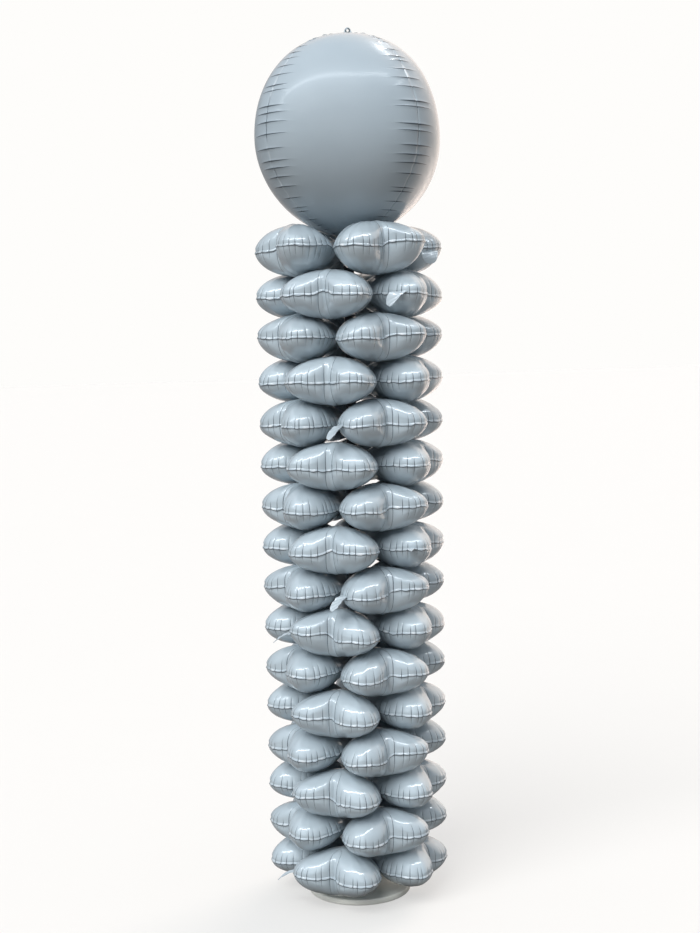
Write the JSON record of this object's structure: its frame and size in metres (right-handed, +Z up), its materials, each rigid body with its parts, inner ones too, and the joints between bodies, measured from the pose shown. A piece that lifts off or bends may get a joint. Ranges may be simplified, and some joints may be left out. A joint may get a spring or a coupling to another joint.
{
  "type": "foil balloon column",
  "caption": "Free-standing column of four-lobed foil balloons stacked on a pole, each turned by half a lobe, with a round foil balloon on top.",
  "frame": {"origin": "centre of the base plate's underside, on the column's axis", "axes": "+Z up along the pole; the lobes of every second balloon point along +X, +Y, -X and -Y"},
  "size_m": [0.424, 0.424, 1.8413],
  "materials": {
    "painted_base": "satin cream paint",
    "dark_plastic": "satin dark grey",
    "pearl_foil": "satin pearl blue-grey foil film"
  },
  "bodies": {
    "column": {"base_plate": "painted_base", "base_socket": "dark_plastic", "pole": "dark_plastic", "lobed_balloon_01": "pearl_foil", "lobed_balloon_02": "pearl_foil", "lobed_balloon_03": "pearl_foil", "lobed_balloon_04": "pearl_foil", "lobed_balloon_05": "pearl_foil", "lobed_balloon_06": "pearl_foil", "lobed_balloon_07": "pearl_foil", "lobed_balloon_08": "pearl_foil", "lobed_balloon_09": "pearl_foil", "lobed_balloon_10": "pearl_foil", "lobed_balloon_11": "pearl_foil", "lobed_balloon_12": "pearl_foil", "lobed_balloon_13": "pearl_foil", "lobed_balloon_14": "pearl_foil", "lobed_balloon_15": "pearl_foil", "lobed_balloon_16": "pearl_foil"},
    "topper": {"topper_cup": "dark_plastic", "topper_panel_1": "pearl_foil", "topper_panel_2": "pearl_foil", "topper_panel_3": "pearl_foil", "topper_panel_4": "pearl_foil", "hang_tab": "pearl_foil"}
  },
  "joints": [
    {"name": "topper_swivel", "type": "hinge", "parent": "column", "child": "topper", "pos_m": [0, 0, 1.411], "axis": [0, 0, 1], "continuous": true}
  ]
}
